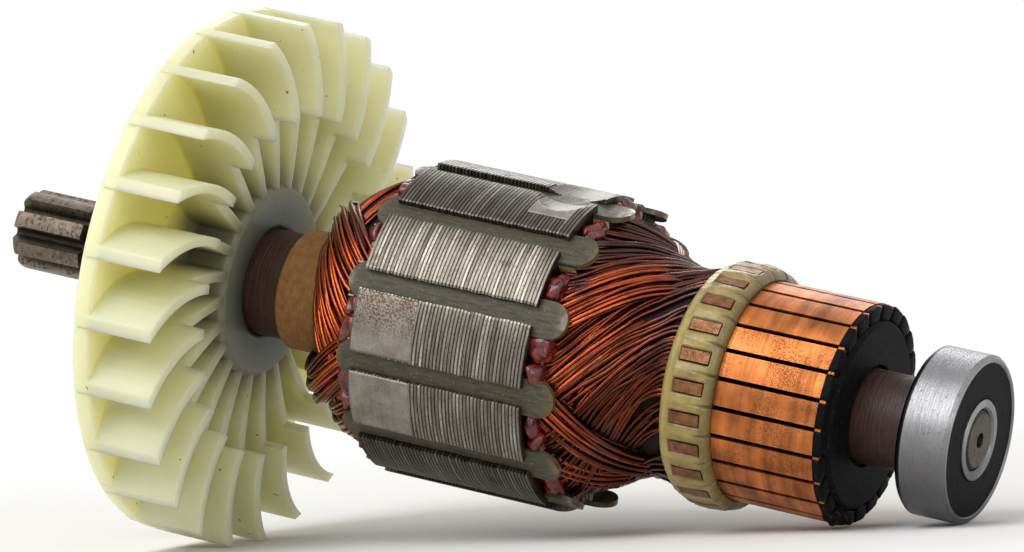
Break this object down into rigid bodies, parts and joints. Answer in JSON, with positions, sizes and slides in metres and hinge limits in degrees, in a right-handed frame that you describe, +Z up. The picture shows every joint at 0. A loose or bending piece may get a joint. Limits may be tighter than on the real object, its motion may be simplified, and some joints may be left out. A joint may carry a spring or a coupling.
{
  "type": "motor armature",
  "caption": "Wound armature of a universal motor with commutator, radial fan, cut pinion on the shaft and a sealed ball bearing.",
  "frame": {"origin": "centre of the ball bearing on the shaft's axis", "axes": "+Z up and +X level towards the bearing end. The armature lies at rest on two fan blades and the bearing's rim, so its shaft runs along X and falls 13.5 degrees towards +X."},
  "size_m": [0.1404, 0.0706, 0.0713],
  "materials": {
    "shaft_steel": "dark oiled",
    "sleeve_resin": "satin",
    "fan_nylon": "translucent natural nylon",
    "collar_board": "varnished",
    "lamination_steel": "turned",
    "varnished_insulation": "varnished",
    "liner_paper": "matte",
    "magnet_wire": "enamelled copper",
    "core_moulding": "moulded",
    "copper_bars": "turned copper",
    "riser_resin": "varnished",
    "slot_wedges": "vulcanised fibre",
    "bearing_steel": "polished",
    "cage_steel": "pressed",
    "seal_rubber": "matte"
  },
  "bodies": {
    "armature": {"shaft": "shaft_steel", "shaft_sleeve": "sleeve_resin", "fan": "fan_nylon", "insulating_collar": "collar_board", "lamination_stack": "lamination_steel", "fan_end_piece": "varnished_insulation", "commutator_end_piece": "varnished_insulation", "slot_liners": "liner_paper", "slot_conductors": "magnet_wire", "winding_fan_end": "magnet_wire", "winding_commutator_end": "magnet_wire", "commutator_core": "core_moulding", "riser_resin": "riser_resin", "bearing_inner_ring": "bearing_steel", "slot_wedge_01": "slot_wedges", "slot_wedge_02": "slot_wedges", "slot_wedge_03": "slot_wedges", "slot_wedge_04": "slot_wedges", "slot_wedge_05": "slot_wedges", "slot_wedge_06": "slot_wedges", "slot_wedge_07": "slot_wedges", "slot_wedge_08": "slot_wedges", "slot_wedge_09": "slot_wedges", "slot_wedge_10": "slot_wedges", "slot_wedge_11": "slot_wedges", "slot_wedge_12": "slot_wedges", "commutator_bar_01": "copper_bars", "commutator_bar_02": "copper_bars", "commutator_bar_03": "copper_bars", "commutator_bar_04": "copper_bars", "commutator_bar_05": "copper_bars", "commutator_bar_06": "copper_bars", "commutator_bar_07": "copper_bars", "commutator_bar_08": "copper_bars", "commutator_bar_09": "copper_bars", "commutator_bar_10": "copper_bars", "commutator_bar_11": "copper_bars", "commutator_bar_12": "copper_bars", "commutator_bar_13": "copper_bars", "commutator_bar_14": "copper_bars", "commutator_bar_15": "copper_bars", "commutator_bar_16": "copper_bars", "commutator_bar_17": "copper_bars", "commutator_bar_18": "copper_bars", "commutator_bar_19": "copper_bars", "commutator_bar_20": "copper_bars", "commutator_bar_21": "copper_bars", "commutator_bar_22": "copper_bars", "commutator_bar_23": "copper_bars", "commutator_bar_24": "copper_bars"},
    "bearing_outer": {"bearing_outer_ring": "bearing_steel", "bearing_front_seal": "seal_rubber", "bearing_back_seal": "seal_rubber"},
    "ball_set": {"bearing_balls": "bearing_steel", "bearing_cage": "cage_steel"}
  },
  "joints": [
    {"name": "outer_ring_spin", "type": "hinge", "parent": "armature", "child": "bearing_outer", "pos_m": [0, 0, 0], "axis": [0.9722, 0, -0.2342], "continuous": true},
    {"name": "ball_set_spin", "type": "hinge", "parent": "armature", "child": "ball_set", "pos_m": [0, 0, 0], "axis": [0.9722, 0, -0.2342], "continuous": true}
  ],
  "couplings": [
    {"joint": "ball_set_spin", "follows": "outer_ring_spin", "ratio": 0.632}
  ]
}
